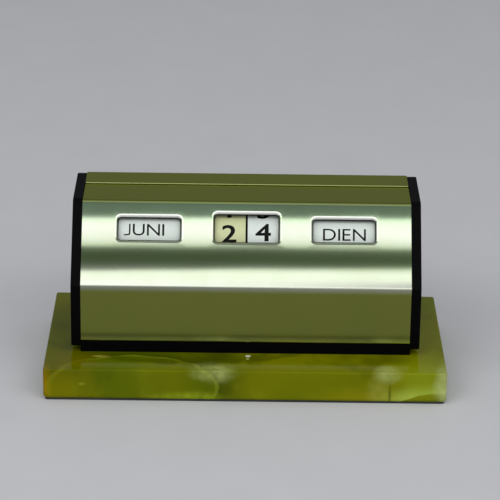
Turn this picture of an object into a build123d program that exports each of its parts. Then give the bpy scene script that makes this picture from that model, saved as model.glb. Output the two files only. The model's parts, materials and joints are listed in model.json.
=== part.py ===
# Perpetual desk calendar: a folded metal case with three windows on a stone slab.
# Behind the windows four printed drums turn freely on one steel shaft and are set by hand.
#
# Frame: millimetres, +X to the reader's right, +Y to the back, +Z up.
# Origin: middle of the underside, on the surface that the calendar stands on.

from math import cos, hypot, radians, sin
import os

from build123d import *

# ---------------------------------------------------------------- driving dimensions
# Stone slab and the felt under it
slab_length = 200.0
slab_depth = 100.0
slab_thickness = 16.0
slab_upright_radius = 1.5
slab_end_radius = 2.2
slab_edge_radius = 0.6
felt_thickness = 0.6
felt_inset = 0.8

# Case: outline of the end plates, seen from the side
case_length = 174.6
plate_thickness = 4.7
plate_lift = 3.2
case_front_y = -28.1
case_rear_y = 39.8
crease_height = 35.7
case_height = 71.9
top_front_y = -1.2
foot_corner_radius = 1.2
crease_radius = 2.2
top_front_radius = 4.0
top_rear_radius = 3.0
plate_edge_radius = 0.5

# Sheet metal covers
sheet = 0.8
rim_proud = 0.8
cover_lift = 5.6
cover_flange = 4.0
cover_bend_radius = 1.0
cover_end_gap = 0.1
front_cover_reach = 9.0
lap_reach = 16.4

# Windows, measured along the sloping face of the front cover
side_window_spacing = 48.8
side_window_width = 30.8
side_window_height = 11.3
side_window_rise = 30.1
date_window_width = 31.8
date_window_height = 14.0
date_window_rise = 30.9
window_corner_radius = 1.4
lip_depth = 2.2
lip_round = 0.6

# Finger openings in the rear cover
finger_side_width = 28.0
finger_side_spacing = 62.0
finger_date_width = 48.0
finger_height = 36.0
finger_corner_radius = 4.0

# Drums and labels
drum_radius = 19.0
drum_depth = 3.5
label_thickness = 0.3
label_clearance = 0.02
drum_wall = 1.6
drum_web = 1.6
hub_radius = 5.0
side_label_width = 36.0
date_label_width = 17.0
date_label_gap = 1.1
body_overhang = 0.2
rim_width = 3.2
rim_rise = 2.0
rim_grooves = 48
groove_radius = 0.45
running_clearance = 0.04
end_float = 0.1

# Shaft, sleeves, washers and the disc that closes the gap between the two date drums
shaft_radius = 2.0
sleeve_radius = 4.0
washer_radius = 4.6
washer_thickness = 0.4
divider_thickness = 0.5
divider_inset = 0.8
shaft_entry = 1.0
socket_radius = 5.5
socket_length = 5.0
socket_entry = 1.5
socket_fit = 0.02

# Ledges inside the end plates that carry the covers
ledge_width = 3.0
ledge_wall = 2.0
ledge_lift = 16.0

# Plinth under the case
plinth_floor = 3.0
plinth_wall = 2.4
plinth_end_wall = 3.6
plinth_ear_height = 15.4
ear_clearance = 1.0
boss_radius = 4.5
boss_height = 9.0

# Fasteners
screw_radius = 1.5
screw_head_radius = 2.8
screw_head_height = 1.6
screw_length = 10.0
thread_clearance = 0.02
pass_clearance = 0.2
screw_rise = 10.6
plate_screw_front = 14.0
plate_screw_rear = 13.0
side_boss_radius = 3.6
side_boss_length = 8.0
tie_rod_radius = 3.0
tie_rod_inset_y = 10.5
tie_rod_inset_z = 7.5
tie_hole_depth = 12.0
cover_screw_radius = 1.25
cover_screw_head_radius = 2.4
cover_screw_head_height = 1.3
cover_screw_length = 7.0
cover_screw_spacing = 72.0
cover_boss_radius = 3.2
cover_boss_length = 7.0
base_screw_radius = 2.0
base_screw_head_radius = 3.5
base_screw_head_height = 2.6
base_screw_spacing = 60.0
base_screw_length = 18.0
base_hole_radius = 2.4
counterbore_radius = 5.0
counterbore_depth = 5.0
base_washer_radius = 4.5
base_washer_thickness = 0.8
slot_width = 0.8
slot_depth = 0.7

# How near to a window's rim an edge must lie to be rounded with it
edge_margin = 0.1
flat_tolerance = 0.01

# ---------------------------------------------------------------- worked-out places
slab_top = felt_thickness + slab_thickness
plate_foot = slab_top + plate_lift
crease_z = slab_top + crease_height
case_top = slab_top + case_height
cover_foot = slab_top + cover_lift
plate_inner = case_length / 2 - plate_thickness
cover_half = plate_inner - cover_end_gap

outline = [
    (case_front_y, plate_foot),
    (case_front_y, crease_z),
    (top_front_y, case_top),
    (case_rear_y, case_top),
    (case_rear_y, plate_foot),
]
outline_radii = [foot_corner_radius, crease_radius, top_front_radius, top_rear_radius, foot_corner_radius]

slope_length = hypot(top_front_y - case_front_y, case_top - crease_z)
slope_up = ((top_front_y - case_front_y) / slope_length, (case_top - crease_z) / slope_length)
slope_out = (-slope_up[1], slope_up[0])


def inset_points(points, distance):
    # Corners of the convex outline moved inwards, each by the same distance from its two edges.
    moved = []
    count = len(points)
    for i in range(count):
        before = unit(points[i - 1], points[i])
        after = unit(points[i], points[(i + 1) % count])
        normal_a = (before[1], -before[0])
        normal_b = (after[1], -after[0])
        share = distance / (1 + normal_a[0] * normal_b[0] + normal_a[1] * normal_b[1])
        y = points[i][0] + share * (normal_a[0] + normal_b[0])
        z = points[i][1] + share * (normal_a[1] + normal_b[1])
        moved.append((y, z))
    return moved


def unit(start, end):
    length = hypot(end[0] - start[0], end[1] - start[1])
    return ((end[0] - start[0]) / length, (end[1] - start[1]) / length)


rim_radius = drum_radius + rim_rise
sheet_corners = inset_points(outline, rim_proud)
crease = sheet_corners[1]


def on_slope(rise, out=0.0):
    # A point of the sloping face, by its distance up from the crease and out from the sheet.
    y = crease[0] + slope_up[0] * rise + slope_out[0] * out
    z = crease[1] + slope_up[1] * rise + slope_out[1] * out
    return (y, z)


axis_y, axis_z = on_slope(date_window_rise, -drum_radius - drum_depth)
tie_rod_y = case_rear_y - tie_rod_inset_y
tie_rod_z = case_top - tie_rod_inset_z
screw_z = slab_top + screw_rise
plinth_front_y = case_front_y + rim_proud
plinth_rear_y = case_rear_y - sheet
plate_screw_front_y = plinth_front_y + plate_screw_front
plate_screw_rear_y = plinth_rear_y - plate_screw_rear
base_screw_y = (plinth_front_y + plinth_rear_y) / 2
windows = [
    (-side_window_spacing, side_window_width, side_window_height, side_window_rise),
    (0.0, date_window_width, date_window_height, date_window_rise),
    (side_window_spacing, side_window_width, side_window_height, side_window_rise),
]
finger_openings = [
    (-finger_side_spacing, finger_side_width),
    (0.0, finger_date_width),
    (finger_side_spacing, finger_side_width),
]
screw_places = [
    (plate_screw_front_y, screw_z),
    (plate_screw_rear_y, screw_z),
    (tie_rod_y, tie_rod_z),
]


# ---------------------------------------------------------------- helpers
def side_face(points):
    # Closed face in the side view, from (y, z) points.
    return make_face(Plane.YZ * Polyline(*points, close=True))


def round_corners(face, corners):
    # Rounds the corner nearest to each (y, z) point.
    for (y, z), radius in corners:
        target = Vector(0, y, z)
        corner = min(face.vertices(), key=lambda vertex: (vertex.center() - target).length)
        face = fillet(corner, radius)
    return face


def along_x(face, start, end):
    return Pos(start, 0, 0) * extrude(face, amount=end - start, dir=(1, 0, 0))


def rod(y, z, radius, start, end):
    # Cylinder along X.
    return Pos((start + end) / 2, y, z) * Rot(0, 90, 0) * Cylinder(radius, abs(end - start))


def post(x, y, radius, low, high):
    # Cylinder along Z.
    return Pos(x, y, (low + high) / 2) * Cylinder(radius, high - low)


def along_y(x, radius, front, rear):
    # Cylinder along Y, at the height of the lower screws.
    return Pos(x, (front + rear) / 2, screw_z) * Rot(90, 0, 0) * Cylinder(radius, rear - front)


def block(x_low, x_high, y_low, y_high, z_low, z_high):
    middle = Pos((x_low + x_high) / 2, (y_low + y_high) / 2, (z_low + z_high) / 2)
    return middle * Box(x_high - x_low, y_high - y_low, z_high - z_low)


def mirrored(shape):
    return mirror(shape, about=Plane.YZ)


def filled_outline(inset):
    # The case outline, inset, with its rounded corners kept concentric.
    points = inset_points(outline, inset)
    corners = []
    for point, radius in zip(points, outline_radii):
        if radius - inset > 0:
            corners.append((point, radius - inset))
    return round_corners(side_face(points), corners)


def countersunk_screw(y, z, x_outer):
    # Flat-headed screw along X with its head flush at x_outer, pointing towards the middle.
    inward = -1 if x_outer > 0 else 1
    head_end = x_outer + inward * screw_head_height
    tip = x_outer + inward * screw_length
    shank = rod(y, z, screw_radius, head_end, tip)
    head = Pos(x_outer + inward * screw_head_height / 2, y, z) * Rot(0, 90 * inward, 0)
    head = head * Cone(screw_head_radius, screw_radius, screw_head_height)
    slot_x = x_outer + inward * slot_depth / 2
    slot = Pos(slot_x, y, z) * Box(slot_depth, slot_width, 2 * screw_head_radius)
    return shank + head - slot


def countersink(y, z, x_outer):
    # The seat of that screw in an end plate.
    inward = -1 if x_outer > 0 else 1
    seat = Pos(x_outer + inward * screw_head_height / 2, y, z) * Rot(0, 90 * inward, 0)
    wide = screw_head_radius + thread_clearance
    seat = seat * Cone(wide, screw_radius + thread_clearance, screw_head_height)
    hole = rod(y, z, screw_radius + pass_clearance, x_outer, x_outer + inward * plate_thickness)
    return seat + hole


# ---------------------------------------------------------------- slab and felt
def make_slab():
    slab = block(
        -slab_length / 2, slab_length / 2, -slab_depth / 2, slab_depth / 2, felt_thickness, slab_top
    )
    slab = fillet(slab.edges().filter_by(Axis.Z), slab_upright_radius)
    foot = slab.faces().sort_by(Axis.Z)[0]
    ends = foot.edges().filter_by(Axis.Y)
    slab = fillet(ends, slab_end_radius)
    top = slab.faces().sort_by(Axis.Z)[-1]
    slab = fillet(top.edges(), slab_edge_radius)
    for x in (-base_screw_spacing, base_screw_spacing):
        slab -= post(x, base_screw_y, base_hole_radius, felt_thickness, slab_top)
        slab -= post(x, base_screw_y, counterbore_radius, felt_thickness, felt_thickness + counterbore_depth)
    return slab


def make_felt():
    half_x = slab_length / 2 - felt_inset
    half_y = slab_depth / 2 - felt_inset
    felt = block(-half_x, half_x, -half_y, half_y, 0, felt_thickness)
    return fillet(felt.edges().filter_by(Axis.Z), slab_upright_radius)


# ---------------------------------------------------------------- plinth
def make_plinth():
    # Tray with a low front wall, which the front cover stands on, and three higher walls.
    y_low = plinth_front_y
    y_high = plinth_rear_y
    floor_top = slab_top + plinth_floor
    ear_top = slab_top + plinth_ear_height
    inner_x = plate_inner - plinth_end_wall
    tray = block(-plate_inner, plate_inner, y_low, y_high, slab_top, cover_foot)
    tray -= block(-inner_x, inner_x, y_low + plinth_wall, y_high, floor_top, cover_foot)
    tray += block(-plate_inner, plate_inner, y_high - plinth_wall, y_high, slab_top, ear_top)
    ear_front = y_low + cover_flange + ear_clearance
    for side in (-1, 1):
        end = side * plate_inner
        x_low, x_high = sorted((side * inner_x, end))
        tray += block(x_low, x_high, ear_front, y_high, slab_top, ear_top)
        for y in (plate_screw_front_y, plate_screw_rear_y):
            tray += rod(y, screw_z, side_boss_radius, end - side * side_boss_length, end)
            hole_end = end - side * (screw_length - plate_thickness + pass_clearance)
            tray -= rod(y, screw_z, screw_radius + thread_clearance, hole_end, end)
    for x in (-base_screw_spacing, base_screw_spacing):
        boss_top = slab_top + boss_height
        tray += post(x, base_screw_y, boss_radius, slab_top, boss_top)
        tray -= post(x, base_screw_y, base_screw_radius + thread_clearance, slab_top, boss_top)
    for x in (-cover_screw_spacing, cover_screw_spacing):
        tray += along_y(x, cover_boss_radius, y_high - cover_boss_length, y_high)
        tray -= along_y(x, cover_screw_radius + thread_clearance, y_high - cover_boss_length, y_high)
    return tray


# ---------------------------------------------------------------- end plates
def make_right_plate():
    outer = case_length / 2
    plate = along_x(filled_outline(0), plate_inner, outer)
    outside = plate.faces().sort_by(Axis.X)[-1]
    plate = fillet(outside.edges(), plate_edge_radius)
    ledge_face = filled_outline(rim_proud + sheet) - filled_outline(rim_proud + sheet + ledge_wall)
    ledge = along_x(ledge_face, plate_inner - ledge_width, plate_inner)
    ledge -= block(0, outer, case_front_y, case_rear_y, 0, plate_foot + ledge_lift)
    plate += ledge
    socket_mouth = plate_inner - socket_length
    socket_end = plate_inner + socket_entry
    plate += rod(axis_y, axis_z, socket_radius, socket_mouth, plate_inner)
    plate -= rod(axis_y, axis_z, shaft_radius + socket_fit, socket_mouth, socket_end)
    for y, z in screw_places:
        plate -= countersink(y, z, outer)
    return plate


# ---------------------------------------------------------------- covers
def cover_band(points, radii):
    # A folded sheet in the side view: outer points from end to end, then the inner ones back.
    inner = []
    for i, point in enumerate(points):
        before = unit(points[max(i - 1, 0)], points[max(i, 1)])
        after = unit(points[min(i, len(points) - 2)], points[min(i + 1, len(points) - 1)])
        normal_a = (before[1], -before[0])
        normal_b = (after[1], -after[0])
        share = sheet / (1 + normal_a[0] * normal_b[0] + normal_a[1] * normal_b[1])
        y = point[0] + share * (normal_a[0] + normal_b[0])
        z = point[1] + share * (normal_a[1] + normal_b[1])
        inner.append((y, z))
    band = side_face(points + inner[::-1])
    corners = []
    for i in range(1, len(points) - 1):
        corners.append((points[i], radii[i - 1]))
        if radii[i - 1] > sheet:
            corners.append((inner[i], radii[i - 1] - sheet))
    return round_corners(band, corners)


def slope_plane(x, rise):
    y, z = on_slope(rise)
    normal = (0, slope_out[0], slope_out[1])
    return Plane(origin=(x, y, z), x_dir=(1, 0, 0), z_dir=normal)


def make_front_cover():
    points = [
        (crease[0] + cover_flange, cover_foot),
        (crease[0], cover_foot),
        crease,
        sheet_corners[2],
        (case_rear_y - front_cover_reach, case_top - rim_proud),
    ]
    radii = [cover_bend_radius, crease_radius - rim_proud, top_front_radius - rim_proud]
    cover = along_x(cover_band(points, radii), -cover_half, cover_half)
    for x, width, height, rise in windows:
        plane = slope_plane(x, rise)
        hole = plane * RectangleRounded(width, height, window_corner_radius)
        collar = plane * RectangleRounded(
            width + 2 * sheet, height + 2 * sheet, window_corner_radius + sheet
        )
        inward = (0, -slope_out[0], -slope_out[1])
        cover += extrude(collar, amount=lip_depth, dir=inward)
        cover -= extrude(hole, amount=2 * lip_depth, both=True)
        rim = [edge for edge in cover.edges() if on_window_rim(edge, plane, width, height)]
        cover = fillet(rim, lip_round)
    return cover


def on_window_rim(edge, plane, width, height):
    # True for the edges of one window hole that lie in the outer surface of the sheet.
    middle = plane.to_local_coords(edge.center())
    inside = abs(middle.X) < width / 2 + edge_margin and abs(middle.Y) < height / 2 + edge_margin
    ends = [plane.to_local_coords(vertex.center()) for vertex in edge.vertices()]
    flat = all(abs(end.Z) < flat_tolerance for end in ends) and abs(middle.Z) < flat_tolerance
    return inside and flat


def make_rear_cover():
    points = [
        (case_rear_y - lap_reach, case_top),
        (case_rear_y, case_top),
        (case_rear_y, plate_foot),
    ]
    cover = along_x(cover_band(points, [cover_bend_radius]), -cover_half, cover_half)
    for x in (-cover_screw_spacing, cover_screw_spacing):
        cover -= along_y(x, cover_screw_radius + pass_clearance, case_rear_y - sheet, case_rear_y)
    for x, width in finger_openings:
        shape = RectangleRounded(width, finger_height, finger_corner_radius)
        face = Plane(origin=(x, case_rear_y, axis_z), x_dir=(1, 0, 0), z_dir=(0, -1, 0)) * shape
        cover -= extrude(face, amount=2 * sheet, both=True)
    return cover


# ---------------------------------------------------------------- shaft and what turns on it
def make_shaft():
    return rod(axis_y, axis_z, shaft_radius, -plate_inner - shaft_entry, plate_inner + shaft_entry)


def make_drum(label_low, label_high, rim_side):
    # Hollow drum: wall under the label, web, hub, and a grooved rim on one side for the finger.
    wall_radius = drum_radius - label_thickness
    low = label_low - body_overhang
    high = label_high + body_overhang
    drum = rod(axis_y, axis_z, wall_radius, low, high)
    drum -= rod(axis_y, axis_z, wall_radius - drum_wall, low, high)
    rim_start = high if rim_side > 0 else low
    rim_end = rim_start + rim_side * rim_width
    rim = rod(axis_y, axis_z, rim_radius, rim_start, rim_end)
    for i in range(rim_grooves):
        turn = radians(360 * i / rim_grooves)
        y = axis_y + rim_radius * cos(turn)
        z = axis_z + rim_radius * sin(turn)
        rim -= rod(y, z, groove_radius, rim_start, rim_end)
    rim -= rod(axis_y, axis_z, wall_radius - drum_wall, rim_start + rim_side * drum_web, rim_end)
    drum += rim
    hub_low = min(low, rim_end)
    hub_high = max(high, rim_end)
    drum += rod(axis_y, axis_z, hub_radius, hub_low, hub_high)
    drum -= rod(axis_y, axis_z, shaft_radius + running_clearance, hub_low, hub_high)
    return drum


def make_label(label_low, label_high):
    label = rod(axis_y, axis_z, drum_radius, label_low, label_high)
    bore = drum_radius - label_thickness + label_clearance
    return label - rod(axis_y, axis_z, bore, label_low, label_high)


def make_tube(outer_radius, low, high):
    tube = rod(axis_y, axis_z, outer_radius, low, high)
    return tube - rod(axis_y, axis_z, shaft_radius + running_clearance, low, high)


# Places along the shaft, for the right half; the left half is its mirror image.
date_label_low = date_label_gap / 2
date_label_high = date_label_low + date_label_width
date_hub_high = date_label_high + body_overhang + rim_width
side_label_low = side_window_spacing - side_label_width / 2
side_label_high = side_window_spacing + side_label_width / 2
side_hub_low = side_label_low - body_overhang
side_hub_high = side_label_high + body_overhang + rim_width
inner_washer = date_hub_high + end_float
drum_washer = side_hub_low - end_float - washer_thickness
outer_washer = side_hub_high + end_float


def make_sleeves():
    inner = make_tube(sleeve_radius, inner_washer + washer_thickness, drum_washer)
    outer = make_tube(sleeve_radius, outer_washer + washer_thickness, plate_inner - socket_length)
    return inner, outer


def make_washers():
    washers = []
    for low in (inner_washer, drum_washer, outer_washer):
        washers.append(make_tube(washer_radius, low, low + washer_thickness))
    return washers


# ---------------------------------------------------------------- fasteners
def make_tie_rod():
    bar = rod(tie_rod_y, tie_rod_z, tie_rod_radius, -plate_inner, plate_inner)
    for side in (-1, 1):
        end = side * plate_inner
        bar -= rod(tie_rod_y, tie_rod_z, screw_radius + thread_clearance, end, end - side * tie_hole_depth)
    return bar


def make_cover_screw(x):
    head_end = case_rear_y + cover_screw_head_height
    screw = along_y(x, cover_screw_head_radius, case_rear_y, head_end)
    screw += along_y(x, cover_screw_radius, case_rear_y - cover_screw_length, case_rear_y)
    reach = cover_screw_head_radius
    slot = block(
        x - reach, x + reach,
        head_end - slot_depth, head_end, screw_z - slot_width / 2, screw_z + slot_width / 2
    )
    return screw - slot


def make_base_screw(x):
    head_low = felt_thickness + counterbore_depth - base_washer_thickness - base_screw_head_height
    head_high = head_low + base_screw_head_height
    screw = post(x, base_screw_y, base_screw_head_radius, head_low, head_high)
    screw += post(x, base_screw_y, base_screw_radius, head_high, head_high + base_screw_length)
    slot = block(
        x - base_screw_head_radius, x + base_screw_head_radius,
        base_screw_y - slot_width / 2, base_screw_y + slot_width / 2, head_low, head_low + slot_depth
    )
    return screw - slot


def make_base_washer(x):
    high = felt_thickness + counterbore_depth
    low = high - base_washer_thickness
    washer = post(x, base_screw_y, base_washer_radius, low, high)
    return washer - post(x, base_screw_y, base_screw_radius + pass_clearance, low, high)


# ---------------------------------------------------------------- write the parts
def save(name, *solids):
    shape = solids[0] if len(solids) == 1 else Compound(children=list(solids))
    export_step(shape, f"parts/{name}.step")


os.makedirs("parts", exist_ok=True)

right_plate = make_right_plate()
inner_sleeve, outer_sleeve = make_sleeves()
washer_set = make_washers()
divider_radius = drum_radius - divider_inset
divider_low = -divider_thickness / 2
plate_faces = (-case_length / 2, case_length / 2)
drums = [
    ("month", -side_label_high, -side_label_low, -1),
    ("tens", -date_label_high, -date_label_low, -1),
    ("units", date_label_low, date_label_high, 1),
    ("weekday", side_label_low, side_label_high, 1),
]

save("onyx_base", make_slab())
save("base_felt", make_felt())
save("base_screws", *[make_base_screw(x) for x in (-base_screw_spacing, base_screw_spacing)])
save("base_washers", *[make_base_washer(x) for x in (-base_screw_spacing, base_screw_spacing)])
save("plinth", make_plinth())
save("right_end_plate", right_plate)
save("left_end_plate", mirrored(right_plate))
save("front_cover", make_front_cover())
save("rear_cover", make_rear_cover())
save("tie_rod", make_tie_rod())
save("drum_shaft", make_shaft())
save("inner_sleeves", inner_sleeve, mirrored(inner_sleeve))
save("outer_sleeves", outer_sleeve, mirrored(outer_sleeve))
save("drum_washers", *washer_set, *[mirrored(washer) for washer in washer_set])
save("date_divider", make_tube(divider_radius, divider_low, -divider_low))
save("plate_screws", *[countersunk_screw(y, z, x) for y, z in screw_places for x in plate_faces])
save("rear_cover_screws", *[make_cover_screw(x) for x in (-cover_screw_spacing, cover_screw_spacing)])
for name, low, high, rim_side in drums:
    save(f"{name}_drum", make_drum(low, high, rim_side))
    save(f"{name}_label", make_label(low, high))
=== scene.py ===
import bmesh
import bpy
import json
from math import cos, pi, radians, sin, tan
from mathutils import Matrix, Vector


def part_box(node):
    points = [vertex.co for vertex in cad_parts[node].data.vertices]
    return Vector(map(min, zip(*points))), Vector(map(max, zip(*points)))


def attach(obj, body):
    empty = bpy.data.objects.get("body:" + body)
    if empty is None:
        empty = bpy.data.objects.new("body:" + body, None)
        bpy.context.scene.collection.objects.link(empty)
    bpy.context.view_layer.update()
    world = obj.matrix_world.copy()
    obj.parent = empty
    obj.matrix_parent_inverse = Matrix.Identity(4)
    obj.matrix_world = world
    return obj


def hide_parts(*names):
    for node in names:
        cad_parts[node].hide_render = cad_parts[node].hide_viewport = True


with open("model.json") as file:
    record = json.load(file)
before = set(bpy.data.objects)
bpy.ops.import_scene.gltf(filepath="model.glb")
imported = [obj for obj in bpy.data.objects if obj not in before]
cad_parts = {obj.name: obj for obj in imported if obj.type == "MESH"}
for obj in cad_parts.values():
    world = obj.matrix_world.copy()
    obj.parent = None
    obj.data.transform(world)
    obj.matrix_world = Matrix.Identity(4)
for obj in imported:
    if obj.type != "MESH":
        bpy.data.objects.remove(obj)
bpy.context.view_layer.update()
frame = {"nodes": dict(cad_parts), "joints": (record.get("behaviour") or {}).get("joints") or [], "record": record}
nodes = frame["nodes"]
mm = 0.001               # in metres, the scene's unit
touch = 0.01 * mm        # places this close count as the same

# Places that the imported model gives
coverLow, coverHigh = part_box("front_cover")
rearLow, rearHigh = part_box("rear_cover")
labelLow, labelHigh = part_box("month_label")
axisY, axisZ = frame["joints"][0]["pos_m"][1:]
drumRadius = (labelHigh.z - labelLow.z) / 2


# Small helpers for modelling
def startFresh():
    # Back to object mode with nothing selected, before a primitive is added
    if bpy.context.object and bpy.context.object.mode != "OBJECT":
        bpy.ops.object.mode_set(mode="OBJECT")
    bpy.ops.object.select_all(action="DESELECT")


def workOn(piece):
    startFresh()
    piece.select_set(True)
    bpy.context.view_layer.objects.active = piece


def choose(kind, test):
    # In edit mode: selects the faces whose middle passes the test, or the edges whose two ends do
    bpy.ops.mesh.select_mode(type=kind)
    bpy.ops.mesh.select_all(action="DESELECT")
    shape = bmesh.from_edit_mesh(bpy.context.edit_object.data)
    if kind == "FACE":
        for face in shape.faces:
            face.select_set(test(face.calc_center_median()))
    else:
        for edge in shape.edges:
            edge.select_set(all(test(corner.co) for corner in edge.verts))
    shape.select_flush_mode()
    bmesh.update_edit_mesh(bpy.context.edit_object.data)


def near(a, b):
    return abs(a - b) < touch


def finishMesh(piece, name, sharpAngle=30):
    # Applies a piece's modifiers, shades it smooth and leaves its object at the origin
    workOn(piece)
    bpy.ops.object.transform_apply(location=True, rotation=True, scale=True)
    for modifier in list(piece.modifiers):
        bpy.ops.object.modifier_apply(modifier=modifier.name)
    bpy.ops.object.shade_smooth_by_angle(angle=radians(sharpAngle))
    even = piece.modifiers.new("evenShading", "WEIGHTED_NORMAL")
    even.keep_sharp = True
    bpy.ops.object.modifier_apply(modifier=even.name)
    piece.name = name
    return piece


# Small helpers for materials
def linear(hexColour):
    # sRGB hex to a linear colour
    values = []
    for i in (0, 2, 4):
        part = int(hexColour[i:i + 2], 16) / 255
        values.append(part / 12.92 if part <= 0.04045 else ((part + 0.055) / 1.055) ** 2.4)
    return (*values, 1.0)


def addNode(tree, kind, settings=None, links=None):
    # Adds a shader node, gives its properties and sockets their values, and links sockets to it
    made = tree.nodes.new("ShaderNode" + kind)
    for name, value in (settings or {}).items():
        if isinstance(name, str) and hasattr(made, name):
            setattr(made, name, value)
        else:
            made.inputs[name].default_value = value
    for name, source in (links or {}).items():
        tree.links.new(source, made.inputs[name])
    return made


def startMaterial(name, shader):
    # A material with only a Principled shader and the Object coordinates in millimetres
    material = bpy.data.materials.new(name)
    material.use_nodes = True
    tree = material.node_tree
    tree.nodes.clear()
    place = addNode(tree, "TexCoord")
    scaled = addNode(
        tree, "VectorMath", {"operation": "SCALE", "Scale": 1 / mm}, {0: place.outputs["Object"]}
    )
    surface = addNode(tree, "BsdfPrincipled", shader)
    addNode(tree, "OutputMaterial", {}, {"Surface": surface.outputs[0]})
    return material, tree, scaled.outputs[0], surface


def smooth(start, end, low=0.0, high=1.0):
    # Settings of a Map Range that goes smoothly from low at the start to high at the end
    return {
        "interpolation_type": "SMOOTHSTEP", "From Min": start, "From Max": end, "To Min": low, "To Max": high,
    }


def spread(low, high):
    # Settings of a Map Range that stretches 0 to 1 over low to high
    return {"To Min": low, "To Max": high}


def blend(low=None, high=None):
    # Settings of a Mix of two colours, of which either may be linked instead. Its sockets 6 and 7 hold them
    settings = {"data_type": "RGBA"}
    for socket, hexColour in ((6, low), (7, high)):
        if hexColour:
            settings[socket] = linear(hexColour)
    return settings


# Folded sheet covers
cover = {
    "sheet": 0.8 * mm,
    "lowerFace": 29.835 * mm,     # from the foot to the crease
    "slopeRise": 53.38,           # degrees from level, of the face with the windows
    "flange": 4 * mm,
    "footBend": 1.0 * mm,
    "creaseBend": 1.4 * mm,
    "topBend": 3.2 * mm,
    "rearBend": 1.0 * mm,
    "bendSteps": 6,
    "edgeRound": 0.12 * mm,
    "edgeSegments": 2,
    "edgeTurn": 60,               # edges that turn more than this are cut edges, in degrees
    "lapRound": 0.38 * mm,        # the lap's cut edge is well rounded
    "cellMargin": 2.0 * mm,       # least width of the joining faces round an opening
    "pickReach": 0.5 * mm,        # a face is found by its middle within this
    "lipRoll": 1.8 * mm,          # radius of the drawn lip
    "lipDepth": 2.2 * mm,
    "lipSteps": 8,
    "lipShadeTilt": 58,            # the lip is painted black, as shade, where it has turned this far, in degrees
    "lipHighlightTilt": 5,              # its upper part is painted pale as a highlight where it has turned this far
    "cornerSteps": 6,
    "windowCorner": 1.4 * mm,
    # x, distance up the slope from the crease, width, height
    "windows": [
        (-48.8 * mm, 30.1 * mm, 30.8 * mm, 11.3 * mm),
        (0, 30.9 * mm, 31.8 * mm, 14.0 * mm),
        (48.8 * mm, 30.1 * mm, 30.8 * mm, 11.3 * mm),
    ],
    # x, width
    "fingerOpenings": [(-62 * mm, 28 * mm), (0, 48 * mm), (62 * mm, 28 * mm)],
    "fingerHeight": 36 * mm,
    "fingerCorner": 4 * mm,
}

creaseZ = coverLow.z + cover["lowerFace"]
slopeRise = radians(cover["slopeRise"])
slopeUp = Vector((0, cos(slopeRise), sin(slopeRise)))
slopeOut = Vector((0, -sin(slopeRise), cos(slopeRise)))
creasePoint = Vector((0, coverLow.y, creaseZ))
slopeLength = (coverHigh.z - creaseZ) / sin(slopeRise)
topFrontY = coverLow.y + slopeLength * cos(slopeRise)


def addFace(origin, up, turn, low, high, bottom, top):
    # A plane from its x range and its range along the up direction, turned about X
    startFresh()
    middle = origin + up * (bottom + top) / 2
    bpy.ops.mesh.primitive_plane_add(
        size=1, location=((low + high) / 2, middle.y, middle.z), rotation=(turn, 0, 0)
    )
    face = bpy.context.object
    face.scale = (high - low, top - bottom, 1)
    bpy.ops.object.transform_apply(location=True, rotation=True, scale=True)
    return face


def cutRows(origin, up, places):
    # Cuts everything selected across the up direction
    for place in places:
        bpy.ops.mesh.select_all(action="SELECT")
        bpy.ops.mesh.bisect(plane_co=origin + up * place, plane_no=up)


def cutColumns(places):
    # Cuts everything selected across X
    for place in places:
        bpy.ops.mesh.select_all(action="SELECT")
        bpy.ops.mesh.bisect(plane_co=(place, 0, 0), plane_no=(1, 0, 0))


def roundFold(place, radius, turn):
    # Rounds the fold whose edges lie at (y, z)
    choose("EDGE", lambda co: near(co.y, place[0]) and near(co.z, place[1]))
    bpy.ops.mesh.bevel(
        offset=radius * tan(turn / 2), offset_type="OFFSET", segments=cover["bendSteps"], affect="EDGES"
    )


def extrudeFrom(place, move):
    # Extrudes the edges that lie at (y, z), whatever their x
    y, z = place
    choose("EDGE", lambda co: near(co.y, y) and near(co.z, z))
    bpy.ops.mesh.extrude_edges_move(TRANSFORM_OT_translate={"value": move})


def thicken(sheet, edgeRound):
    # Gives the sheet its thickness inwards and eases its raw edges.
    # Outside, inside and cut edges get slots 0, 1 and 2, which have to be there first
    for _ in range(3):
        sheet.data.materials.append(None)
    wall = sheet.modifiers.new("wall", "SOLIDIFY")
    wall.thickness = cover["sheet"]
    wall.offset = -1
    wall.use_even_offset = True
    wall.material_offset = 1
    wall.material_offset_rim = 2
    ease = sheet.modifiers.new("ease", "BEVEL")
    ease.width = edgeRound
    ease.segments = cover["edgeSegments"]
    ease.limit_method = "ANGLE"
    ease.angle_limit = radians(cover["edgeTurn"])
    ease.use_clamp_overlap = True


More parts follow.
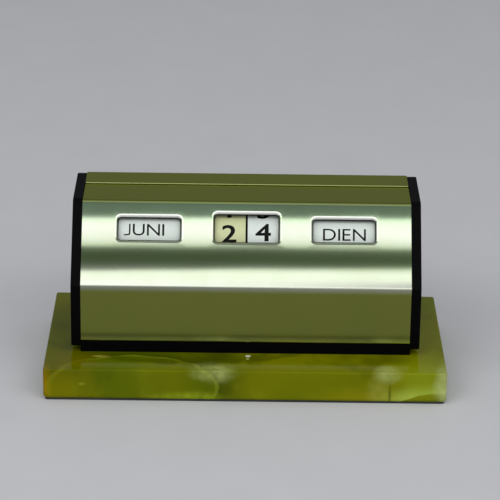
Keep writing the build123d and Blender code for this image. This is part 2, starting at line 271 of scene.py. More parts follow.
def makeFrontCover():
    sheet = addFace(creasePoint, slopeUp, slopeRise, coverLow.x, coverHigh.x, 0, slopeLength)
    bpy.ops.object.mode_set(mode="EDIT")
    roll, margin = cover["lipRoll"], cover["cellMargin"]
    columns = []
    for x, rise, width, height in cover["windows"]:
        columns += [x - width / 2 - roll - margin, x + width / 2 + roll + margin]
    tallest = max(cover["windows"], key=lambda window: window[3])
    reach = tallest[3] / 2 + roll + margin
    lowest, highest = tallest[1] - reach, tallest[1] + reach
    cutColumns(columns)
    cutRows(creasePoint, slopeUp, [lowest, highest])
    for x, rise, width, height in cover["windows"]:
        # a side window's cell is as tall as the date window's, so that the cells share two straight rows
        middle = creasePoint + slopeUp * (lowest + highest) / 2 + Vector((x, 0, 0))
        choose("FACE", lambda co: (co - middle).length < cover["pickReach"])
        bpy.ops.mesh.delete(type="ONLY_FACE")
    bpy.ops.object.mode_set(mode="OBJECT")
    for window in cover["windows"]:
        joinOpening(
            sheet, creasePoint, slopeUp, slopeRise, window, cover["windowCorner"], roll, (lowest, highest)
        )
    workOn(sheet)
    bpy.ops.object.mode_set(mode="EDIT")
    extrudeFrom((coverLow.y, creaseZ), (0, 0, -cover["lowerFace"]))
    extrudeFrom((coverLow.y, coverLow.z), (0, cover["flange"], 0))
    extrudeFrom((topFrontY, coverHigh.z), (0, coverHigh.y - topFrontY, 0))
    roundFold((coverLow.y, coverLow.z), cover["footBend"], radians(90))
    roundFold((coverLow.y, creaseZ), cover["creaseBend"], radians(90) - slopeRise)
    roundFold((topFrontY, coverHigh.z), cover["topBend"], slopeRise)
    bpy.ops.object.mode_set(mode="OBJECT")
    thicken(sheet, cover["edgeRound"])
    return finishMesh(sheet, "frontCoverSheet")


def joinOpening(sheet, origin, up, turn, opening, corner, roll, cell):
    # Makes a rounded opening, with a rolled lip if roll > 0, and joins it to the open cell round it
    x, rise, width, height = opening
    ring = addFace(
        origin, up, turn, x - width / 2 - roll, x + width / 2 + roll,
        rise - height / 2 - roll, rise + height / 2 + roll,
    )
    bpy.ops.object.mode_set(mode="EDIT")
    bpy.ops.mesh.select_mode(type="VERT")
    bpy.ops.mesh.select_all(action="SELECT")
    bpy.ops.mesh.bevel(offset=corner + roll, segments=cover["cornerSteps"], affect="VERTICES")
    bpy.ops.mesh.select_mode(type="FACE")
    bpy.ops.mesh.select_all(action="SELECT")
    if roll > 0:
        steps = cover["lipSteps"]
        for i in range(steps):
            start, end = pi / 2 * i / steps, pi / 2 * (i + 1) / steps
            inward = roll * (sin(end) - sin(start))
            down = roll * (cos(start) - cos(end))
            bpy.ops.mesh.inset(thickness=inward, depth=-down, use_even_offset=True)
        bpy.ops.mesh.inset(thickness=0, depth=-(cover["lipDepth"] - roll))
        bpy.ops.mesh.delete(type="FACE")
    else:
        bpy.ops.mesh.delete(type="ONLY_FACE")
    workOn(sheet)
    ring.select_set(True)
    bpy.ops.object.join()
    bpy.ops.object.mode_set(mode="EDIT")
    half = width / 2 + roll + cover["cellMargin"] + touch
    outward = Vector((1, 0, 0)).cross(up)

    def onCell(co):
        local = co - origin
        height = local.dot(up)
        flat = abs(local.dot(outward)) < touch / 2
        return flat and abs(local.x - x) < half and cell[0] - touch < height < cell[1] + touch

    choose("EDGE", onCell)
    if roll > 0:
        bpy.ops.mesh.bridge_edge_loops()
    else:
        bpy.ops.mesh.fill(use_beauty=True)    # a bridge can run across a large opening and close it
    bpy.ops.object.mode_set(mode="OBJECT")


def makeRearCover():
    origin = Vector((0, rearHigh.y, 0))
    up = Vector((0, 0, 1))
    sheet = addFace(origin, up, radians(90), rearLow.x, rearHigh.x, rearLow.z, rearHigh.z)
    bpy.ops.object.mode_set(mode="EDIT")
    reach = cover["fingerHeight"] / 2 + cover["cellMargin"]
    cell = (axisZ - reach, axisZ + reach)
    columns = []
    for x, width in cover["fingerOpenings"]:
        columns += [x - width / 2 - cover["cellMargin"], x + width / 2 + cover["cellMargin"]]
    cutColumns(columns)
    cutRows(origin, up, cell)
    for x, width in cover["fingerOpenings"]:
        middle = Vector((x, rearHigh.y, axisZ))
        choose("FACE", lambda co: (co - middle).length < cover["pickReach"])
        bpy.ops.mesh.delete(type="ONLY_FACE")
    bpy.ops.object.mode_set(mode="OBJECT")
    for x, width in cover["fingerOpenings"]:
        opening = (x, axisZ, width, cover["fingerHeight"])
        joinOpening(sheet, origin, up, radians(90), opening, cover["fingerCorner"], 0, cell)
    workOn(sheet)
    bpy.ops.object.mode_set(mode="EDIT")
    bpy.ops.mesh.select_all(action="SELECT")
    bpy.ops.mesh.flip_normals()
    extrudeFrom((rearHigh.y, rearHigh.z), (0, rearLow.y - rearHigh.y, 0))
    roundFold((rearHigh.y, rearHigh.z), cover["rearBend"], radians(90))
    bpy.ops.object.mode_set(mode="OBJECT")
    thicken(sheet, cover["lapRound"])
    return finishMesh(sheet, "rearCoverSheet")


frontCover = makeFrontCover()
rearCover = makeRearCover()
for piece, node in ((frontCover, "front_cover"), (rearCover, "rear_cover")):
    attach(piece, "case")
    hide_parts(node)
    print(piece.name, "faces", len(piece.data.polygons))


# Printing on the drums
printing = {
    "thickness": 0.04 * mm,
    "rowStep": 0.8 * mm,        # letters are cut this fine, so that they follow the drum
    "wordHeight": 6.0 * mm,
    "wordStretch": 1.17,
    "hookStretch": 2.6,         # the hook of the J is drawn wider than the font's own
    "hookStem": 0.115,          # width of its stem, as a share of its height
    "letterGap": 1.15 * mm,
    "digitHeight": 9.0 * mm,
    "digitStretch": 1.27,
    "digitBold": 0.018,         # stroke growth, as a share of the letter size
    "weld": 0.004,              # outline points closer than this share are one
    "sharpest": 0.5,            # keeps a sharp corner from moving too far
    "curveSteps": 6,
    # words or digits in the order that they come up, x of their middle, turn of the first one in degrees
    "month": {
        "rows": ["JUNI", "JULI", "AUG", "SEPT", "OKT", "NOV", "DEZ",
                 "JANU", "FEBR", "MÄRZ", "APRIL", "MAI"],
        "middle": -51.5 * mm, "shown": 144.9,
    },
    "weekday": {
        "rows": ["DIEN", "MITT", "DONN", "FREI", "SAMS", "SONN", "MONT"],
        "middle": 49.05 * mm, "shown": 149.2,
    },
    "tens": {
        "rows": ["2", "3", "0", "1", "2", "3", "0", " ", "1"],
        "middle": -8.75 * mm, "shown": 149.5,
    },
    "units": {
        "rows": ["4", "5", "6", "7", "8", "9", "0", "1", "2", "3"],
        "middle": 8.3 * mm, "shown": 146.9,
    },
}


def embolden(shape, growth):
    # Widens a flat letter's strokes: each corner of its outline moves out from both of its edges
    workOn(shape)
    bpy.ops.object.mode_set(mode="EDIT")
    bpy.ops.mesh.select_all(action="SELECT")
    bpy.ops.mesh.remove_doubles(threshold=printing["weld"])
    flat = bmesh.from_edit_mesh(shape.data)
    outs = {}
    for edge in flat.edges:
        if edge.is_boundary:
            start, end = edge.verts
            out = (end.co - start.co).cross(Vector((0, 0, 1))).normalized()
            if out.dot((start.co + end.co) / 2 - edge.link_faces[0].calc_center_median()) < 0:
                out = -out
            outs.setdefault(start, []).append(out)
            outs.setdefault(end, []).append(out)
    for corner, (first, second) in outs.items():
        corner.co += (first + second) * growth / max(1 + first.dot(second), printing["sharpest"])
    bmesh.update_edit_mesh(shape.data)
    bpy.ops.object.mode_set(mode="OBJECT")


def makeLetter(letter, height, stretch, bold):
    # One letter as a flat mesh whose left foot is at the origin
    startFresh()
    bpy.ops.object.text_add(location=(0, 0, 0))
    text = bpy.context.object
    text.data.body = letter
    text.data.size = 1
    text.data.resolution_u = printing["curveSteps"]
    bpy.ops.object.convert(target="MESH")
    shape = bpy.context.object
    if bold > 0:
        embolden(shape, bold)
    low = min(corner.co.y for corner in shape.data.vertices)
    high = max(corner.co.y for corner in shape.data.vertices)
    left = min(corner.co.x for corner in shape.data.vertices)
    if letter == "Ä":
        scale = height / capHeight
        low = 0
    else:
        scale = height / (high - low)
    if letter == "J":
        right = max(corner.co.x for corner in shape.data.vertices)
        stem = right - printing["hookStem"] * (high - low)
        for corner in shape.data.vertices:
            if corner.co.x < stem:
                corner.co.x = stem - (stem - corner.co.x) * printing["hookStretch"]
        left = min(corner.co.x for corner in shape.data.vertices)
    for corner in shape.data.vertices:
        corner.co.x = (corner.co.x - left) * scale * stretch
        corner.co.y = (corner.co.y - low) * scale
    return shape


def makeWord(word, height, stretch, gap, bold):
    # A row of letters as one flat mesh, centred on the origin
    x = 0
    letters = []
    for letter in word:
        shape = makeLetter(letter, height, stretch, bold)
        shape.data.transform(Matrix.Translation((x, 0, 0)))
        x = max(corner.co.x for corner in shape.data.vertices) + gap
        letters.append(shape)
    workOn(letters[0])
    for shape in letters[1:]:
        shape.select_set(True)
    bpy.ops.object.join()
    row = bpy.context.object
    row.data.transform(Matrix.Translation(((gap - x) / 2, -height / 2, 0)))
    return row


def rollOn(row, middle, turn):
    # Rolls a flat row round the drum: its middle goes to that turn, in degrees from the back over the top
    for corner in row.data.vertices:
        angle = radians(turn) - corner.co.y / drumRadius
        radius = drumRadius + corner.co.z
        corner.co = Vector((middle + corner.co.x, axisY + radius * cos(angle), axisZ + radius * sin(angle)))


def makePrint(body, height, stretch, gap, bold):
    rows = printing[body]["rows"]
    made = []
    for i, word in enumerate(rows):
        if word.strip() == "":
            continue
        row = makeWord(word, height, stretch, gap, bold)
        bpy.ops.object.mode_set(mode="EDIT")
        bpy.ops.mesh.select_all(action="SELECT")
        bpy.ops.mesh.remove_doubles(threshold=touch / 10)
        steps = int(height / printing["rowStep"])
        for step in range(1, steps):
            bpy.ops.mesh.select_all(action="SELECT")
            bpy.ops.mesh.bisect(plane_co=(0, height * (step / steps - 0.5), 0), plane_no=(0, 1, 0))
        bpy.ops.mesh.select_all(action="SELECT")
        bpy.ops.mesh.extrude_region_move(TRANSFORM_OT_translate={"value": (0, 0, printing["thickness"])})
        bpy.ops.object.mode_set(mode="OBJECT")
        rollOn(row, printing[body]["middle"], printing[body]["shown"] + 360 * i / len(rows))
        made.append(row)
    workOn(made[0])
    for row in made[1:]:
        row.select_set(True)
    bpy.ops.object.join()
    piece = bpy.context.object
    bpy.ops.object.mode_set(mode="EDIT")
    bpy.ops.mesh.select_all(action="SELECT")
    bpy.ops.mesh.normals_make_consistent(inside=False)
    bpy.ops.object.mode_set(mode="OBJECT")
    piece.name = body + "Print"
    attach(piece, body)
    print(piece.name, "faces", len(piece.data.polygons))
    return piece


def measureCapital():
    # How tall a capital of size 1 is, for letters with something above them
    startFresh()
    bpy.ops.object.text_add(location=(0, 0, 0))
    bpy.context.object.data.body = "E"
    bpy.ops.object.convert(target="MESH")
    sample = bpy.context.object
    tall = max(corner.co.y for corner in sample.data.vertices)
    bpy.data.objects.remove(sample)
    return tall


capHeight = measureCapital()
prints = []
for body in ("month", "weekday"):
    prints.append(
        makePrint(body, printing["wordHeight"], printing["wordStretch"], printing["letterGap"], 0)
    )
for body in ("tens", "units"):
    prints.append(
        makePrint(body, printing["digitHeight"], printing["digitStretch"], 0, printing["digitBold"])
    )


# Anodised aluminium: rolled sheet, chemically brightened and dyed pale gold. It mirrors its surroundings
# softly along the rolling grain, and it isn't quite flat, so that reflections run across it as bands.
aluminium = {
    "gold": "7d833c",
    "grazing": "fbffd2",       # tint of the reflection at a low angle
    "footReflection": "e6eab8",          # painted reflection: the lower face is lighter along the foot
    "roughness": (0.12, 0.17),
    "aged": "6d7040",          # faint cloudy marks in the dye
    "agedShare": 0.35,
    "agedScale": 0.03,         # per mm
    "grainWidth": 0.35,        # mm; the real grain is finer than a tenth of this, and is drawn to show
    "grainLength": 30.0,
    "grainDepth": 0.0006,
    "bandPeriod": 27.8,        # mm from one shallow wave of the sloping face to the next
    "bandStart": 1.0,
    "bandTilt": 3.8,           # degrees that a wave tilts the sheet
    "lean": 1.2,               # degrees that the crease leans forward at the right, and back at the left
    "leanReach": 30.0,         # mm up the slope, where that lean has faded out
    "bandSlant": -0.008,       # the waves run up to the right
    "bandDrift": 1.6,          # mm that a wave wanders
    "driftScale": 0.012,       # per mm
    # painted reflection: tones of the sloping face that follow its light and dark reflection bands, from the
    # crease to its top
    "paintedReflectionTones": [
        (0.02, "b0b4a9"), (0.14, "a8b09e"), (0.34, "687f57"), (0.66, "b0b4a9"), (0.92, "9dba95"),
    ],
    "colourZone": (48.5, 52.8, 86.2, 87.6),    # heights in mm where these tones begin, are full, fade, end
    "frontReach": 10.0,        # no tones behind this y in mm
    "footReflectionZone": (26.4, 22.8),  # heights in mm where the painted reflection at the foot starts and is strongest
}


def makeAluminium():
    values = aluminium
    material, tree, place, surface = startMaterial(
        "anodisedAluminium", {"Metallic": 1.0, "Specular Tint": linear(values["grazing"])}
    )
    x, y, z = addNode(tree, "SeparateXYZ", {}, {0: place}).outputs
    # How far up the slope's direction a point is, and the crease
    rise = addNode(tree, "VectorMath", {"operation": "DOT_PRODUCT", 1: tuple(slopeUp)}, {0: place})
    creaseRise = creasePoint.dot(slopeUp) / mm
    # Painted reflection: the sloping face is coloured greyer than the upright and the top, in tones that follow
    # its reflection bands
    begin, full, fading, end = values["colourZone"]
    onSlope = addNode(tree, "MapRange", smooth(begin, full), {"Value": z})
    belowTop = addNode(tree, "MapRange", smooth(end, fading), {"Value": z})
    inFront = addNode(tree, "Math", {"operation": "LESS_THAN", 1: values["frontReach"]}, {0: y})
    zone = addNode(tree, "Math", {"operation": "MULTIPLY"}, {0: onSlope.outputs[0], 1: belowTop.outputs[0]})
    zone = addNode(tree, "Math", {"operation": "MULTIPLY"}, {0: zone.outputs[0], 1: inFront.outputs[0]})
    share = addNode(
        tree, "MapRange",
        {"From Min": creaseRise, "From Max": creaseRise + slopeLength / mm},
        {"Value": rise.outputs["Value"]},
    )
    tones = addNode(tree, "ValToRGB", {}, {0: share.outputs[0]})
    ramp = tones.color_ramp
    ramp.interpolation = "EASE"
    for i, (stop, hexColour) in enumerate(values["paintedReflectionTones"]):
        mark = ramp.elements[i] if i < 2 else ramp.elements.new(stop)
        mark.position = stop
        mark.color = linear(hexColour)
    colour = addNode(tree, "Mix", blend(values["gold"]), {0: zone.outputs[0], 7: tones.outputs[0]})
    # Painted reflection: lighter towards the foot
    footReflection = addNode(tree, "MapRange", smooth(*values["footReflectionZone"]), {"Value": z})
    colour = addNode(tree, "Mix", blend(high=values["footReflection"]), {0: footReflection.outputs[0], 6: colour.outputs[2]})
    clouds = addNode(
        tree, "TexNoise", {"Scale": values["agedScale"], "Detail": 4.0, "Roughness": 0.6}, {"Vector": place}
    )
    cloudy = addNode(tree, "MapRange", spread(0.0, values["agedShare"]), {"Value": clouds.outputs[0]})
    colour = addNode(tree, "Mix", blend(high=values["aged"]), {0: cloudy.outputs[0], 6: colour.outputs[2]})
    tree.links.new(colour.outputs[2], surface.inputs["Base Color"])
    # Rolling grain along X
    across = 1 / values["grainWidth"]
    drawn = (1 / values["grainLength"], across, across)
    stretch = addNode(tree, "VectorMath", {"operation": "MULTIPLY", 1: drawn}, {0: place})
    grain = addNode(tree, "TexNoise", {"Scale": 1.0, "Detail": 3.0}, {"Vector": stretch.outputs[0]})
    rough = addNode(tree, "MapRange", spread(*values["roughness"]), {"Value": grain.outputs[0]})
    tree.links.new(rough.outputs[0], surface.inputs["Roughness"])
    # Shallow waves across the sloping face
    drift = addNode(tree, "TexNoise", {"Scale": values["driftScale"], "Detail": 1.0}, {"Vector": place})
    far = values["bandDrift"]
    shift = addNode(tree, "MapRange", spread(-far, far), {"Value": drift.outputs[0]})
    slant = addNode(
        tree, "Math", {"operation": "MULTIPLY_ADD", 1: values["bandSlant"]}, {0: x, 2: shift.outputs[0]}
    )
    along = addNode(tree, "Math", {"operation": "ADD"}, {0: rise.outputs["Value"], 1: slant.outputs[0]})
    start = creaseRise + values["bandStart"]
    turn = addNode(tree, "Math", {"operation": "SUBTRACT", 1: start}, {0: along.outputs[0]})
    rate = 2 * pi / values["bandPeriod"]
    turn = addNode(tree, "Math", {"operation": "MULTIPLY", 1: rate}, {0: turn.outputs[0]})
    wave = addNode(tree, "Math", {"operation": "SINE"}, {0: turn.outputs[0]})
    height = tan(radians(values["bandTilt"])) / rate
    wave = addNode(tree, "Math", {"operation": "MULTIPLY", 1: height}, {0: wave.outputs[0]})
    # A lean that grows towards the ends of the crease
    leanEnd = creaseRise + values["leanReach"]
    below = addNode(tree, "Math", {"operation": "SUBTRACT", 0: leanEnd}, {1: rise.outputs["Value"]})
    below = addNode(tree, "Math", {"operation": "MAXIMUM", 1: 0.0}, {0: below.outputs[0]})
    square = addNode(tree, "Math", {"operation": "MULTIPLY"}, {0: below.outputs[0], 1: below.outputs[0]})
    lean = addNode(tree, "Math", {"operation": "MULTIPLY"}, {0: square.outputs[0], 1: x})
    leanRate = -tan(radians(values["lean"])) / (coverHigh.x / mm) / (2 * values["leanReach"])
    wave = addNode(
        tree, "Math", {"operation": "MULTIPLY_ADD", 1: leanRate}, {0: lean.outputs[0], 2: wave.outputs[0]}
    )
    wave = addNode(tree, "Math", {"operation": "MULTIPLY"}, {0: wave.outputs[0], 1: zone.outputs[0]})
    fine = addNode(tree, "Math", {"operation": "MULTIPLY", 1: values["grainDepth"]}, {0: grain.outputs[0]})
    total = addNode(tree, "Math", {"operation": "ADD"}, {0: wave.outputs[0], 1: fine.outputs[0]})
    bump = addNode(tree, "Bump", {"Strength": 1.0, "Distance": mm}, {"Height": total.outputs[0]})
    tree.links.new(bump.outputs[0], surface.inputs["Normal"])
    return material


# Green onyx: a banded, slightly see-through calcite, sawn and polished. Light goes a little way in, so its
# clouds and veins look soft, and the polish gives a sharp gloss.
onyx = {
    "deep": "3c4600",
    "green": "546400",
    "yellow": "747600",
    "veil": "949c1c",
    "roughness": 0.12,
    "seeThrough": 4.0 * mm,    # how far light goes in
    "seenThrough": (1.0, 1.0, 0.2),    # how much of that each of red, green and blue goes
    "cloudWidth": 60.0,        # mm
    "layerWidth": 24.0,
    "layerBend": 30.0,
    # where in the noise each of these begins and is full, and its share there
    "clouds": (0.3, 0.7, 0.0, 1.0),
    "darkLayers": (0.5, 0.3, 0.0, 0.5),
    "paleLayers": (0.58, 0.8, 0.0, 0.35),
    "wisps": (0.35, 0.65),
    "edgeWobble": 0.5,         # how ragged the marks' edges are, as a share of their size
    "shellWobble": 0.1,
    "wobbleWidth": 10.0,
    "wispWidth": 3.333,
    "polishWidth": 2.0,        # faint unevenness that the polish has left
    "polishDepth": 0.01 * mm,
    # middle, size, softness, colour, strength, how wispy
    "marks": [
        ((-15.5, -48, 16), (8, 7, 4), 0.8, "9ea753", 0.65, 0.5),
        ((-12, -49, 15), (4, 5, 3.5), 0.9, "b4bd72", 0.5, 0.3),
        ((-21, -50, 14.5), (4, 5, 2.5), 0.9, "a2ac5c", 0.5, 0.3),
        ((70.5, -49, 15.5), (5.5, 6, 3.8), 0.7, "a9b26a", 0.75, 0.3),
        ((-100, -50, 9), (3, 8, 8), 0.8, "a87600", 0.7, 0.0),
        ((-90, -50, 6), (12, 8, 10), 0.9, "8c8600", 0.6, 0.0),
        ((-86, -38, 17), (14, 12, 8), 0.9, "6e6400", 0.6, 0.0),
        ((-28, -50, 1.5), (15, 8, 3.2), 0.7, "94a51e", 0.75, 0.4),
        # painted shadow of the plinth, dark on the slab's top just in front of it
        ((-13, -32, 17), (9, 8, 4), 0.8, "363e00", 0.7, 0.0),
        ((35, -50, 6), (22, 12, 12), 0.9, "727800", 0.6, 0.0),
        ((57, -50, 2), (18, 8, 5), 0.9, "8f8a08", 0.6, 0.0),
        ((66, -50, 6), (5, 8, 7), 0.6, "9a9c3c", 0.5, 0.3),
        ((90, -50, 13), (14, 14, 9), 0.9, "8c9c18", 0.65, 0.0),
        # painted highlight: whitish light along the slab's right front corner
        ((100, -50, 9), (5, 16, 9), 0.7, "c0ca88", 0.8, 0.3),
        ((-100, 10, 17), (18, 50, 14), 0.9, "5a5a00", 0.6, 0.0),
        ((98, 10, 17), (14, 50, 14), 0.9, "6f7400", 0.6, 0.0),
        ((-72, -33, 16.6), (4, 1.5, 1.5), 0.6, "b0a640", 0.8, 0.6),
        ((1.5, -31, 16.6), (1.3, 1.3, 1), 0.4, "dde0c0", 0.9, 0.0),
        ((1.2, -34.5, 16.6), (0.9, 0.9, 1), 0.5, "b0b860", 0.8, 0.0),
        ((-81, -50, 9), (1.4, 2, 0.7), 0.9, "9aa230", 0.5, 0.0),
        ((71.8, -50, 4), (0.6, 3, 5.5), 0.9, "343800", 0.6, 0.0),
    ],
    # growth shells, which show as curved bands: middle, size, fade inwards, fade outwards, colour, strength
    "shells": [
        ((-56, -58, 8), (44, 30, 18), 0.02, 0.4, "333b00", 0.55),
        ((-56, -58, 8), (44, 30, 18), 0.07, 0.02, "9aa42c", 0.35),
        ((98, -50, -6), (26, 20, 12), 0.04, 0.6, "b4c850", 0.85),
        ((-30, 30, 17), (95, 70, 20), 0.10, 0.05, "3c4200", 0.5),
    ],
}


def distance(tree, place, centre, size, wobble):
    # How far out a point is, 1 on the surface of an ellipsoid. Middle and size in millimetres
    moved = addNode(tree, "VectorMath", {"operation": "SUBTRACT", 1: centre}, {0: place})
    shrunk = addNode(tree, "VectorMath", {"operation": "DIVIDE", 1: size}, {0: moved.outputs[0]})
    reach = addNode(tree, "VectorMath", {"operation": "LENGTH"}, {0: shrunk.outputs[0]})
    return addNode(tree, "Math", {"operation": "ADD"}, {0: reach.outputs["Value"], 1: wobble}).outputs[0]


def makeOnyx():
    values = onyx
    material, tree, place, surface = startMaterial(
        "polishedOnyx",
        {
            "Roughness": values["roughness"], "IOR": 1.55, "Specular IOR Level": 0.06,
            "Subsurface Weight": 0.12, "Subsurface Scale": values["seeThrough"],
        },
    )
    surface.inputs["Subsurface Radius"].default_value = values["seenThrough"]
    # Broad clouds, then bent layers
    broad = addNode(tree, "TexNoise", {"Scale": 1 / values["cloudWidth"], "Detail": 2.0}, {"Vector": place})
    bend = addNode(
        tree, "VectorMath", {"operation": "SCALE", "Scale": values["layerBend"]}, {0: broad.outputs[1]}
    )
    bent = addNode(tree, "VectorMath", {"operation": "ADD"}, {0: place, 1: bend.outputs[0]})
    layer = addNode(
        tree, "TexNoise", {"Scale": 1 / values["layerWidth"], "Detail": 3.0, "Roughness": 0.45},
        {"Vector": bent.outputs[0]},
    )
    clouds = addNode(tree, "MapRange", smooth(*values["clouds"]), {"Value": broad.outputs[0]})
    colour = addNode(tree, "Mix", blend(values["green"], values["yellow"]), {0: clouds.outputs[0]})
    dark = addNode(tree, "MapRange", smooth(*values["darkLayers"]), {"Value": layer.outputs[0]})
    colour = addNode(tree, "Mix", blend(high=values["deep"]), {0: dark.outputs[0], 6: colour.outputs[2]})
    pale = addNode(tree, "MapRange", smooth(*values["paleLayers"]), {"Value": layer.outputs[0]})
    colour = addNode(tree, "Mix", blend(high=values["veil"]), {0: pale.outputs[0], 6: colour.outputs[2]})
    # The marks of this slab
    ragged = addNode(
        tree, "TexNoise", {"Scale": 1 / values["wobbleWidth"], "Detail": 4.0, "Roughness": 0.5},
        {"Vector": place},
    )
    wobble, calm = values["edgeWobble"], values["shellWobble"]
    rough = addNode(tree, "MapRange", spread(-wobble, wobble), {"Value": ragged.outputs[0]})
    gentle = addNode(tree, "MapRange", spread(-calm, calm), {"Value": ragged.outputs[0]})
    wisps = addNode(
        tree, "TexNoise", {"Scale": 1 / values["wispWidth"], "Detail": 2.0, "Roughness": 0.4},
        {"Vector": place},
    )
    for centre, size, inner, outer, hexColour, strength in values["shells"]:
        out = distance(tree, place, centre, size, gentle.outputs[0])
        inside = addNode(tree, "MapRange", smooth(1 - inner, 1.0, 0.0, strength), {"Value": out})
        outside = addNode(tree, "MapRange", smooth(1 + outer, 1.0), {"Value": out})
        weight = addNode(
            tree, "Math", {"operation": "MULTIPLY"}, {0: inside.outputs[0], 1: outside.outputs[0]}
        )
        colour = addNode(tree, "Mix", blend(high=hexColour), {0: weight.outputs[0], 6: colour.outputs[2]})
    for centre, size, softness, hexColour, strength, wispy in values["marks"]:
        out = distance(tree, place, centre, size, rough.outputs[0])
        blob = addNode(tree, "MapRange", smooth(1 + softness, 1 - softness, 0.0, strength), {"Value": out})
        thin = addNode(tree, "MapRange", smooth(*values["wisps"], 1 - wispy), {"Value": wisps.outputs[0]})
        weight = addNode(tree, "Math", {"operation": "MULTIPLY"}, {0: blob.outputs[0], 1: thin.outputs[0]})
        colour = addNode(tree, "Mix", blend(high=hexColour), {0: weight.outputs[0], 6: colour.outputs[2]})
    tree.links.new(colour.outputs[2], surface.inputs["Base Color"])
    fine = addNode(tree, "TexNoise", {"Scale": 1 / values["polishWidth"], "Detail": 2.0}, {"Vector": place})
    bump = addNode(
        tree, "Bump", {"Strength": 0.3, "Distance": values["polishDepth"]}, {"Height": fine.outputs[0]}
    )
    tree.links.new(bump.outputs[0], surface.inputs["Normal"])
    return material


glossShare = 0.2        # how much a plain finish's roughness varies over its surface


def makePlain(name, hexLow, hexHigh, shader, size, depth, detail=4.0):
    # A moulded, plated or printed finish: two close colours in a fine noise, with a bump of the same grain.
    # Size of the grain and depth of the bump are in millimetres
    material, tree, place, surface = startMaterial(name, shader)
    noise = addNode(
        tree, "TexNoise", {"Scale": 1 / size, "Detail": detail, "Roughness": 0.6}, {"Vector": place}
    )
    colour = addNode(tree, "Mix", blend(hexLow, hexHigh), {0: noise.outputs[0]})
    tree.links.new(colour.outputs[2], surface.inputs["Base Color"])
    smoothest, roughest = shader["Roughness"] * (1 - glossShare), shader["Roughness"] * (1 + glossShare)
    rough = addNode(tree, "MapRange", spread(smoothest, roughest), {"Value": noise.outputs[0]})
    tree.links.new(rough.outputs[0], surface.inputs["Roughness"])
    bump = addNode(tree, "Bump", {"Strength": 1.0, "Distance": mm * depth}, {"Height": noise.outputs[0]})
    tree.links.new(bump.outputs[0], surface.inputs["Normal"])
    return material


materials = {
    "gold_aluminium": makeAluminium(),
    "onyx": makeOnyx(),
    # Moulded ABS, dull black with a fine spark-eroded grain that swallows most of the gloss
    "black_plastic": makePlain(
        "mouldedAbs", "030304", "070708",
        {"Roughness": 0.5, "IOR": 1.54, "Specular IOR Level": 0.03}, 0.5, 0.01,
    ),
    "drum_plastic": makePlain(
        "blackPolystyrene", "040405", "080808",
        {"Roughness": 0.5, "IOR": 1.59, "Specular IOR Level": 0.04}, 0.6, 0.008,
    ),
    "sleeve_plastic": makePlain(
        "naturalPolyamide", "cfccbf", "dcd9cd", {"Roughness": 0.5, "IOR": 1.53}, 0.8, 0.01
    ),
    # Coated label stock: the white one has a faint green cast, and the other has yellowed
    "white_label": makePlain(
        "whiteLabelStock", "dae3da", "e6efe6", {"Roughness": 0.45, "IOR": 1.5}, 3.0, 0.004
    ),
    "cream_label": makePlain(
        "yellowedLabelStock", "cbd09a", "dce0ae", {"Roughness": 0.45, "IOR": 1.5}, 3.0, 0.004
    ),
    # Ground, zinc plated and blackened steel: the plating is greyer and duller, and the black nearly matt
    "bright_steel": makePlain(
        "groundSteel", "b4b4b6", "c6c6c8", {"Metallic": 1.0, "Roughness": 0.25}, 0.4, 0.003
    ),
    "zinc_steel": makePlain(
        "zincPlatedSteel", "a6a79d", "bcbdb4", {"Metallic": 1.0, "Roughness": 0.35}, 0.9, 0.006
    ),
    "black_steel": makePlain(
        "blackenedSteel", "101011", "1a1a1b", {"Roughness": 0.4, "IOR": 1.5}, 0.4, 0.006
    ),
    # Pressed wool felt: short fibres that scatter light at the edge
    "felt": makePlain(
        "woolFelt", "0c110c", "1a231a", {"Roughness": 0.95, "Sheen Weight": 0.4}, 0.35, 0.15, 8.0
    ),
}
# Printing ink dries dull black
ink = makePlain(
    "printingInk", "020303", "060707", {"Roughness": 0.6, "Specular IOR Level": 0.15}, 1.2, 0.002
)
# The inside of both sheets is lacquered black. The black reaching over each window's inner edge is painted shade
# under the lips
lacquerAndLipShade = makePlain(
    "lacquerAndLipShade", "030303", "060606", {"Roughness": 0.55, "Specular IOR Level": 0.05}, 1.0, 0.004
)
# The lap's cut edge is dyed thinly. The front cover's cut edges are bare metal, and the same pale metal on its top
# lips is a painted highlight
thinDye = makePlain(
    "thinlyDyedAluminium", "aaae72", "c0c486", {"Metallic": 1.0, "Roughness": 0.5}, 1.5, 0.002
)
bareEdgeAndLipHighlight = makePlain(
    "bareEdgeAndLipHighlight", "e9ece2", "fafaf4", {"Metallic": 1.0, "Roughness": 0.45}, 1.5, 0.002
)
print("materials", len(bpy.data.materials))


def dress(piece, *finishes):
    # Gives a piece its finishes, slot by slot
    slots = piece.data.materials
    while len(slots) < len(finishes):
        slots.append(None)
    for i, finish in enumerate(finishes):
        slots[i] = finish


def finishLips():
    # Each window's lip turns from gold to black, which is painted shade, and its upper part to pale bare metal,
    # which is a painted highlight
    roll = cover["lipRoll"]
    for face in frontCover.data.polygons:
        local = face.center - creasePoint
        for x, rise, width, height in cover["windows"]:
            aside = abs(local.x - x) - width / 2
            above = local.dot(slopeUp) - rise - height / 2
            if aside > roll or abs(above + height / 2) > height / 2 + roll:
                continue
            turned = face.normal.dot(slopeOut)
            # painted shade: the lip's inner wall is black
            if turned < cos(radians(cover["lipShadeTilt"])):
                face.material_index = 1
            # painted highlight: the upper part of the lip is pale bare metal
            elif above > 0 and turned < cos(radians(cover["lipHighlightTilt"])):
                face.material_index = 2


for part in frame["record"]["subparts"]:
    dress(nodes[part["node"]], materials[part["material_slot"]])
dress(frontCover, materials["gold_aluminium"], lacquerAndLipShade, bareEdgeAndLipHighlight)
dress(rearCover, materials["gold_aluminium"], lacquerAndLipShade, thinDye)
finishLips()
for piece in prints:
    dress(piece, ink)


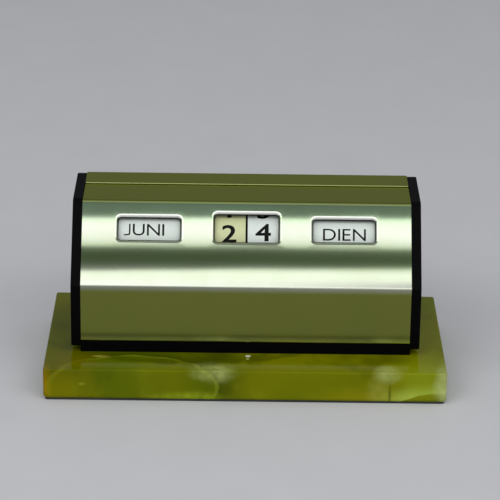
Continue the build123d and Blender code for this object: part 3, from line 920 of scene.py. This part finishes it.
# Floor, lights and camera
studio = {
    "floorSize": 8.0,
    "floorColours": ("c9c9cb", "cfcfd1"),
    "floorMottle": 40.0,       # mm
    "surround": (0.30, 0.31, 0.33, 1.0),
    # name, middle, width, height, power in watts
    "lights": [
        ("mainSoftbox", (0.0, -1.529, 1.706), 2.4, 0.5, 9.1),
        ("lowFill", (0.0, -2.225, 0.96), 2.6, 1.3, 8.0),
        ("leftKey", (-1.35, -1.15, 1.55), 1.4, 1.2, 12.0),
        ("rightKey", (1.35, -1.15, 1.55), 1.4, 1.2, 10.0),
        ("overheadSoftbox", (0.0, 0.1, 1.8), 1.4, 1.0, 2.5),
    ],
    "aim": (0, -0.01, 0.06),
}


def makeStudio():
    startFresh()
    bpy.ops.mesh.primitive_plane_add(size=studio["floorSize"], location=(0, 0, 0))
    floor = bpy.context.object
    floor.name = "floor"
    # Matt wall paint, with the faintest mottling
    low, high = studio["floorColours"]
    dress(floor, makePlain("paintedFloor", low, high, {"Roughness": 0.9}, studio["floorMottle"], 0.0))
    world = bpy.data.worlds.new("surround")
    world.use_nodes = True
    world.node_tree.nodes["Background"].inputs["Color"].default_value = studio["surround"]
    bpy.context.scene.world = world
    for name, place, width, height, power in studio["lights"]:
        startFresh()
        bpy.ops.object.light_add(type="AREA", location=place)
        light = bpy.context.object
        light.name = name
        light.data.shape = "RECTANGLE"
        light.data.size = width
        light.data.size_y = height
        light.data.energy = power
        light.visible_camera = False
        toward = Vector(studio["aim"]) - Vector(place)
        light.rotation_euler = toward.to_track_quat("-Z", "Y").to_euler()


view = {
    "place": (-5.6 * mm, -1185.5 * mm, 528.3 * mm),
    "pitch": 21.49,      # degrees below the horizon
    "yaw": 0.36,
    "roll": 0.82,
    "lens": 181.4,       # mm
    "sensor": 36.0,
}


def makeCamera():
    startFresh()
    bpy.ops.object.camera_add()
    camera = bpy.context.object
    camera.data.lens = view["lens"]
    camera.data.sensor_width = view["sensor"]
    heading = Matrix.Rotation(-radians(view["yaw"]), 4, "Z")
    tilt = Matrix.Rotation(radians(90 - view["pitch"]), 4, "X")
    roll = Matrix.Rotation(radians(view["roll"]), 4, "Z")
    camera.matrix_world = Matrix.Translation(view["place"]) @ heading @ tilt @ roll
    bpy.context.scene.camera = camera


makeStudio()
makeCamera()
bpy.context.scene.view_settings.view_transform = "Standard"
startFresh()
